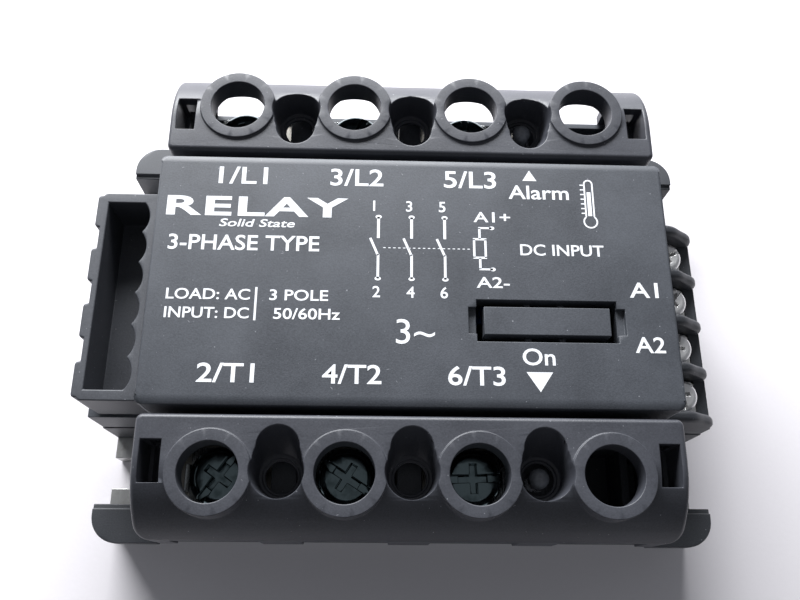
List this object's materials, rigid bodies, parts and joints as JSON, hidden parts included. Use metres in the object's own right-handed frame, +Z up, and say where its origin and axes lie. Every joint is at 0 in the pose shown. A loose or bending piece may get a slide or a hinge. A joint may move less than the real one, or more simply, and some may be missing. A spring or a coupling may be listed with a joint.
{
  "type": "solid state relay",
  "caption": "Panel-mount three-phase solid state relay with touch-proof terminal covers, control terminal strip, plug shroud and base plate.",
  "frame": {"origin": "centre of the base plate's underside", "axes": "+X towards the control terminals, +Y towards the line terminals L1 to L3, +Z up away from the mounting face"},
  "size_m": [0.103, 0.0744, 0.041],
  "materials": {
    "plate_aluminium": "plain rolled, faint grain",
    "frame_plastic": "matt moulded",
    "housing_plastic": "matt fine-textured moulded",
    "shroud_plastic": "matt moulded",
    "terminal_block_plastic": "matt moulded",
    "cover_plastic": "matt moulded",
    "busbar_nickel": "nickel-plated copper",
    "contact_brass": "tinned brass",
    "guide_clear": "clear smoked",
    "lamp_red": "unlit diffused",
    "lamp_green": "unlit diffused",
    "board_green": "solder-masked laminate",
    "chip_black": "moulded package",
    "varistor_blue": "dipped coating",
    "capacitor_yellow": "moulded box",
    "substrate_ceramic": "sintered alumina",
    "silicon": "metallised silicon",
    "sensor_black": "moulded package",
    "screw_zinc": "zinc-plated",
    "clamp_zinc": "zinc-plated",
    "power_screw_steel": "dark zinc-plated",
    "control_screw_steel": "bright zinc-plated"
  },
  "bodies": {
    "housing": {"base_plate": "plate_aluminium", "lower_frame": "frame_plastic", "upper_housing": "housing_plastic", "plug_shroud": "shroud_plastic", "control_terminal_block": "terminal_block_plastic", "line_busbars": "busbar_nickel", "load_busbars": "busbar_nickel", "control_contacts": "contact_brass", "alarm_light_guide": "guide_clear", "on_light_guide": "guide_clear", "alarm_light": "lamp_red", "on_light": "lamp_green", "driver_board": "board_green", "optocouplers": "chip_black", "varistors": "varistor_blue", "snubber_capacitors": "capacitor_yellow", "ceramic_substrate": "substrate_ceramic", "thyristor_chips": "silicon", "temperature_sensor": "sensor_black", "housing_screws": "screw_zinc"},
    "front_cover_body": {"front_cover": "cover_plastic"},
    "rear_cover_body": {"rear_cover": "cover_plastic"},
    "power_l1_clamp": {"power_clamp_l1": "clamp_zinc"},
    "power_l1_screw": {"power_screw_l1": "power_screw_steel"},
    "power_l2_clamp": {"power_clamp_l2": "clamp_zinc"},
    "power_l2_screw": {"power_screw_l2": "power_screw_steel"},
    "power_l3_clamp": {"power_clamp_l3": "clamp_zinc"},
    "power_l3_screw": {"power_screw_l3": "power_screw_steel"},
    "power_t1_clamp": {"power_clamp_t1": "clamp_zinc"},
    "power_t1_screw": {"power_screw_t1": "power_screw_steel"},
    "power_t2_clamp": {"power_clamp_t2": "clamp_zinc"},
    "power_t2_screw": {"power_screw_t2": "power_screw_steel"},
    "power_t3_clamp": {"power_clamp_t3": "clamp_zinc"},
    "power_t3_screw": {"power_screw_t3": "power_screw_steel"},
    "control_1_clamp": {"control_clamp_1": "clamp_zinc"},
    "control_1_screw": {"control_screw_1": "control_screw_steel"},
    "control_2_clamp": {"control_clamp_2": "clamp_zinc"},
    "control_2_screw": {"control_screw_2": "control_screw_steel"},
    "control_3_clamp": {"control_clamp_3": "clamp_zinc"},
    "control_3_screw": {"control_screw_3": "control_screw_steel"},
    "control_4_clamp": {"control_clamp_4": "clamp_zinc"},
    "control_4_screw": {"control_screw_4": "control_screw_steel"}
  },
  "joints": [
    {"name": "front_cover_lift", "type": "slide", "parent": "housing", "child": "front_cover_body", "axis": [0, 0, 1], "range_m": [0, 0.025]},
    {"name": "rear_cover_lift", "type": "slide", "parent": "housing", "child": "rear_cover_body", "axis": [0, 0, 1], "range_m": [0, 0.025]},
    {"name": "power_l1_clamp_travel", "type": "slide", "parent": "housing", "child": "power_l1_clamp", "axis": [0, 0, 1], "range_m": [-0.00297, 0]},
    {"name": "power_l1_screw_turn", "type": "hinge", "parent": "power_l1_clamp", "child": "power_l1_screw", "pos_m": [-0.02769, 0.0282, 0.03], "axis": [0, 0, 1], "range_deg": [-1530, 0]},
    {"name": "power_l2_clamp_travel", "type": "slide", "parent": "housing", "child": "power_l2_clamp", "axis": [0, 0, 1], "range_m": [-0.00297, 0]},
    {"name": "power_l2_screw_turn", "type": "hinge", "parent": "power_l2_clamp", "child": "power_l2_screw", "pos_m": [-0.00923, 0.0282, 0.03], "axis": [0, 0, 1], "range_deg": [-1530, 0]},
    {"name": "power_l3_clamp_travel", "type": "slide", "parent": "housing", "child": "power_l3_clamp", "axis": [0, 0, 1], "range_m": [-0.00297, 0]},
    {"name": "power_l3_screw_turn", "type": "hinge", "parent": "power_l3_clamp", "child": "power_l3_screw", "pos_m": [0.00923, 0.0282, 0.03], "axis": [0, 0, 1], "range_deg": [-1530, 0]},
    {"name": "power_t1_clamp_travel", "type": "slide", "parent": "housing", "child": "power_t1_clamp", "axis": [0, 0, 1], "range_m": [-0.00297, 0]},
    {"name": "power_t1_screw_turn", "type": "hinge", "parent": "power_t1_clamp", "child": "power_t1_screw", "pos_m": [-0.02769, -0.0282, 0.03], "axis": [0, 0, 1], "range_deg": [-1530, 0]},
    {"name": "power_t2_clamp_travel", "type": "slide", "parent": "housing", "child": "power_t2_clamp", "axis": [0, 0, 1], "range_m": [-0.00297, 0]},
    {"name": "power_t2_screw_turn", "type": "hinge", "parent": "power_t2_clamp", "child": "power_t2_screw", "pos_m": [-0.00923, -0.0282, 0.03], "axis": [0, 0, 1], "range_deg": [-1530, 0]},
    {"name": "power_t3_clamp_travel", "type": "slide", "parent": "housing", "child": "power_t3_clamp", "axis": [0, 0, 1], "range_m": [-0.00297, 0]},
    {"name": "power_t3_screw_turn", "type": "hinge", "parent": "power_t3_clamp", "child": "power_t3_screw", "pos_m": [0.00923, -0.0282, 0.03], "axis": [0, 0, 1], "range_deg": [-1530, 0]},
    {"name": "control_1_clamp_travel", "type": "slide", "parent": "housing", "child": "control_1_clamp", "axis": [0, 0, 1], "range_m": [0, 0.00149]},
    {"name": "control_1_screw_turn", "type": "hinge", "parent": "control_1_clamp", "child": "control_1_screw", "pos_m": [0.046, 0.01252, 0.0188], "axis": [0, 0, 1], "range_deg": [0, 1080]},
    {"name": "control_2_clamp_travel", "type": "slide", "parent": "housing", "child": "control_2_clamp", "axis": [0, 0, 1], "range_m": [0, 0.00149]},
    {"name": "control_2_screw_turn", "type": "hinge", "parent": "control_2_clamp", "child": "control_2_screw", "pos_m": [0.046, 0.00417, 0.0188], "axis": [0, 0, 1], "range_deg": [0, 1080]},
    {"name": "control_3_clamp_travel", "type": "slide", "parent": "housing", "child": "control_3_clamp", "axis": [0, 0, 1], "range_m": [0, 0.00149]},
    {"name": "control_3_screw_turn", "type": "hinge", "parent": "control_3_clamp", "child": "control_3_screw", "pos_m": [0.046, -0.00417, 0.0188], "axis": [0, 0, 1], "range_deg": [0, 1080]},
    {"name": "control_4_clamp_travel", "type": "slide", "parent": "housing", "child": "control_4_clamp", "axis": [0, 0, 1], "range_m": [0, 0.00149]},
    {"name": "control_4_screw_turn", "type": "hinge", "parent": "control_4_clamp", "child": "control_4_screw", "pos_m": [0.046, -0.01252, 0.0188], "axis": [0, 0, 1], "range_deg": [0, 1080]}
  ],
  "couplings": [
    {"joint": "power_l1_screw_turn", "follows": "power_l1_clamp_travel", "rad_per_m": 8976},
    {"joint": "power_l2_screw_turn", "follows": "power_l2_clamp_travel", "rad_per_m": 8976},
    {"joint": "power_l3_screw_turn", "follows": "power_l3_clamp_travel", "rad_per_m": 8976},
    {"joint": "power_t1_screw_turn", "follows": "power_t1_clamp_travel", "rad_per_m": 8976},
    {"joint": "power_t2_screw_turn", "follows": "power_t2_clamp_travel", "rad_per_m": 8976},
    {"joint": "power_t3_screw_turn", "follows": "power_t3_clamp_travel", "rad_per_m": 8976},
    {"joint": "control_1_screw_turn", "follows": "control_1_clamp_travel", "rad_per_m": 12566},
    {"joint": "control_2_screw_turn", "follows": "control_2_clamp_travel", "rad_per_m": 12566},
    {"joint": "control_3_screw_turn", "follows": "control_3_clamp_travel", "rad_per_m": 12566},
    {"joint": "control_4_screw_turn", "follows": "control_4_clamp_travel", "rad_per_m": 12566}
  ]
}
